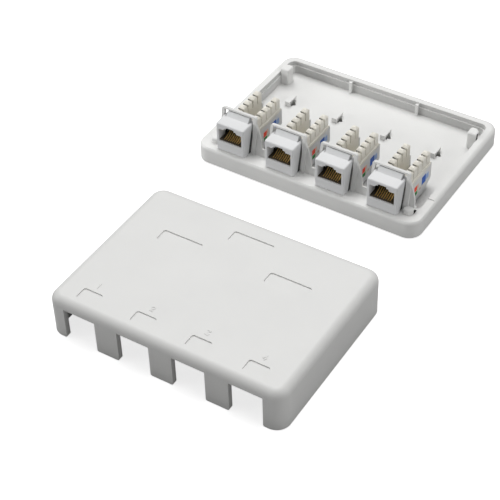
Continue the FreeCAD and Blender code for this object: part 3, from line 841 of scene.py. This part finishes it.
# %% [markdown]
# ## Contact springs
#
# Eight sprung wires rise through the plug opening of each jack. A Bezier segment gives the
# bend of one wire, a circle swept along it gives its thickness, and two lines of points
# set out the eight wires and the four jacks. The handles of the segment are shares of its
# run from front to back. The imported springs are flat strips 0.6 mm wide, which the round
# wires replace.

# %% Sizes of the springs
spring_low, spring_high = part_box("contacts_1")
SPRING_COUNT = 8
SPRING_WIDTH = 0.6 * MM
WIRE_RADIUS = 0.28 * MM
BEND_STEPS = 20
RING_POINTS = 10
FRONT_HANDLE = 0.30
BACK_HANDLE = 0.35
spring_sizes = {
    "Wires": SPRING_COUNT,
    "Wire pitch": (spring_high.x - spring_low.x - SPRING_WIDTH) / (SPRING_COUNT - 1),
    "Wire radius": WIRE_RADIUS,
    "Front": spring_low.y + WIRE_RADIUS,
    "Back": spring_high.y,
    "Low": spring_low.z + WIRE_RADIUS,
    "High": spring_high.z - WIRE_RADIUS,
    "Jacks": len(PORTS),
    "Jack pitch": port_pitch,
    "First jack": port_x[0],
}
print("spring pitch in mm:", round(spring_sizes["Wire pitch"] / MM, 3))


# %% Contact springs
def spring_tree(sizes):
    tree = start_tree("contact_springs", sizes)
    front, back = size_of(tree, "Front"), size_of(tree, "Back")
    low, high = size_of(tree, "Low"), size_of(tree, "High")
    run = work(tree, "SUBTRACT", back, front)
    bend = tree.nodes.new("GeometryNodeCurvePrimitiveBezierSegment")
    bend.inputs["Resolution"].default_value = BEND_STEPS
    near = work(tree, "ADD", front, work(tree, "MULTIPLY", run, FRONT_HANDLE))
    far = work(tree, "SUBTRACT", back, work(tree, "MULTIPLY", run, BACK_HANDLE))
    feed(tree, point(tree, 0.0, front, low), bend.inputs["Start"])
    feed(tree, point(tree, 0.0, near, low), bend.inputs["Start Handle"])
    feed(tree, point(tree, 0.0, far, high), bend.inputs["End Handle"])
    feed(tree, point(tree, 0.0, back, high), bend.inputs["End"])
    ring = tree.nodes.new("GeometryNodeCurvePrimitiveCircle")
    ring.inputs["Resolution"].default_value = RING_POINTS
    feed(tree, size_of(tree, "Wire radius"), ring.inputs["Radius"])
    sweep = tree.nodes.new("GeometryNodeCurveToMesh")
    sweep.inputs["Fill Caps"].default_value = True
    feed(tree, bend.outputs["Curve"], sweep.inputs["Curve"])
    feed(tree, ring.outputs["Curve"], sweep.inputs["Profile Curve"])
    pitch = size_of(tree, "Wire pitch")
    steps = work(tree, "SUBTRACT", size_of(tree, "Wires"), 1.0)
    first = work(tree, "MULTIPLY", work(tree, "MULTIPLY", pitch, steps), -0.5)
    row = copies(tree, sweep.outputs["Mesh"], size_of(tree, "Wires"),
                 point(tree, first, 0.0, 0.0), point(tree, pitch, 0.0, 0.0))
    jacks = copies(tree, row, size_of(tree, "Jacks"),
                   point(tree, size_of(tree, "First jack"), 0.0, 0.0),
                   point(tree, size_of(tree, "Jack pitch"), 0.0, 0.0))
    return end_tree(tree, jacks)


springs = grow("contact_springs", spring_tree(spring_sizes), spring_sizes, wire_gold)
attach(springs, "base")
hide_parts(*[f"contacts_{n}" for n in PORTS])
print("springs:", SPRING_COUNT * len(PORTS), "faces:", len(springs.data.polygons))

# %% [markdown]
# ## Forked blades
#
# In each wire slot of a terminal block stands a forked blade that bites through the wire's
# sleeve. Two narrow tines on a foot make one blade, and three lines of points set out the
# slots, the two rows and the four jacks.

# %% Sizes of the blades
blade_low, blade_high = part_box("blades_1")
BLADE_THICK = 0.4 * MM
BLADE_WIDE = 2.6 * MM
TINE_GAP = 0.4 * MM
FORK_DEPTH = 3.4 * MM
SLOTS_IN_ROW = 4
ROWS = 2
blade_sizes = {
    "Slots": SLOTS_IN_ROW,
    "Slot pitch": (blade_high.y - blade_low.y - BLADE_WIDE) / (SLOTS_IN_ROW - 1),
    "First slot": blade_low.y + BLADE_WIDE / 2,
    "Rows' middle": (blade_high.x + blade_low.x) / 2 - port_x[0],
    "Row offset": (blade_high.x - blade_low.x - BLADE_THICK) / 2,
    "Bottom": blade_low.z,
    "Top": blade_high.z,
    "Jacks": len(PORTS),
    "Jack pitch": port_pitch,
    "First jack": port_x[0],
}
print("slot pitch in mm:", round(blade_sizes["Slot pitch"] / MM, 3))


# %% Blades
def slab(tree, size_y, centre_y, low, high):
    height = work(tree, "SUBTRACT", high, low)
    middle = work(tree, "MULTIPLY", work(tree, "ADD", high, low), 0.5)
    block = tree.nodes.new("GeometryNodeMeshCube")
    feed(tree, point(tree, BLADE_THICK, size_y, height), block.inputs["Size"])
    move = tree.nodes.new("GeometryNodeTransform")
    feed(tree, block.outputs["Mesh"], move.inputs["Geometry"])
    feed(tree, point(tree, 0.0, centre_y, middle), move.inputs["Translation"])
    return move.outputs["Geometry"]


def blade_tree(sizes):
    tree = start_tree("forked_blades", sizes)
    bottom, top = size_of(tree, "Bottom"), size_of(tree, "Top")
    crotch = work(tree, "SUBTRACT", top, FORK_DEPTH)
    tine = (BLADE_WIDE - TINE_GAP) / 2
    blade = tree.nodes.new("GeometryNodeJoinGeometry")
    for part in (slab(tree, BLADE_WIDE, 0.0, bottom, crotch),
                 slab(tree, tine, (BLADE_WIDE - tine) / 2, crotch, top),
                 slab(tree, tine, (tine - BLADE_WIDE) / 2, crotch, top)):
        tree.links.new(part, blade.inputs["Geometry"])
    row = copies(tree, blade.outputs["Geometry"], size_of(tree, "Slots"),
                 point(tree, 0.0, size_of(tree, "First slot"), 0.0),
                 point(tree, 0.0, size_of(tree, "Slot pitch"), 0.0))
    middle, offset = size_of(tree, "Rows' middle"), size_of(tree, "Row offset")
    pair = copies(tree, row, ROWS,
                  point(tree, work(tree, "SUBTRACT", middle, offset), 0.0, 0.0),
                  point(tree, work(tree, "MULTIPLY", offset, 2.0), 0.0, 0.0))
    jacks = copies(tree, pair, size_of(tree, "Jacks"),
                   point(tree, size_of(tree, "First jack"), 0.0, 0.0),
                   point(tree, size_of(tree, "Jack pitch"), 0.0, 0.0))
    return end_tree(tree, jacks)


blades = grow("forked_blades", blade_tree(blade_sizes), blade_sizes, blade_tin)
blades.data.shade_flat()
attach(blades, "base")
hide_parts(*[f"blades_{n}" for n in PORTS])
print("blades:", ROWS * SLOTS_IN_ROW * len(PORTS), "faces:", len(blades.data.polygons))

# %% [markdown]
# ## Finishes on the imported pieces
#
# The carriers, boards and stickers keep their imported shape, which is already right, and
# only take a finish. A copy of each could replace it, but would add nothing.

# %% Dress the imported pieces
PACKED_FINISHES = {
    "contact_carrier": carrier_dark.material,
    "circuit_board": board,
    "sticker_left": sticker_paper,
    "sticker_right": sticker_paper,
}


def dress_packed(node, material):
    mesh = nodes[node].data
    mesh.materials.clear()
    mesh.materials.append(material)


for n in PORTS:
    for kind, material in PACKED_FINISHES.items():
        dress_packed(f"{kind}_{n}", material)
print("packed pieces dressed:", len(PORTS) * len(PACKED_FINISHES))

# %% [markdown]
# ## Two flagged lamps for the tray
#
# The walls of the tray are seen lighter than those of the cover. A studio does that with a
# flag, a card that keeps a lamp off a piece. Here two lamps have a list of what they light.
# They stand low on the left and on the right, so the noses of the jacks shade the webs.

# %% Tray lamps
TRAY_LAMP_SIZE = 0.4
LEFT_LAMP_PLACE = (-1.05, -0.6, 0.30)
LEFT_LAMP_WATTS = 5.7
RIGHT_LAMP_PLACE = (1.1, -0.3, 0.35)
RIGHT_LAMP_WATTS = 1.3

lit_pieces = bpy.data.collections.new("lit by the tray lamps")
for piece in bpy.context.scene.objects:
    if piece.type == "MESH" and piece not in (floor, lid):
        lit_pieces.objects.link(piece)
tray_lamps = [
    make_lamp("left tray lamp", LEFT_LAMP_PLACE, TRAY_LAMP_SIZE, LEFT_LAMP_WATTS),
    make_lamp("right tray lamp", RIGHT_LAMP_PLACE, TRAY_LAMP_SIZE, RIGHT_LAMP_WATTS),
]
for lamp in tray_lamps:
    lamp.light_linking.receiver_collection = lit_pieces
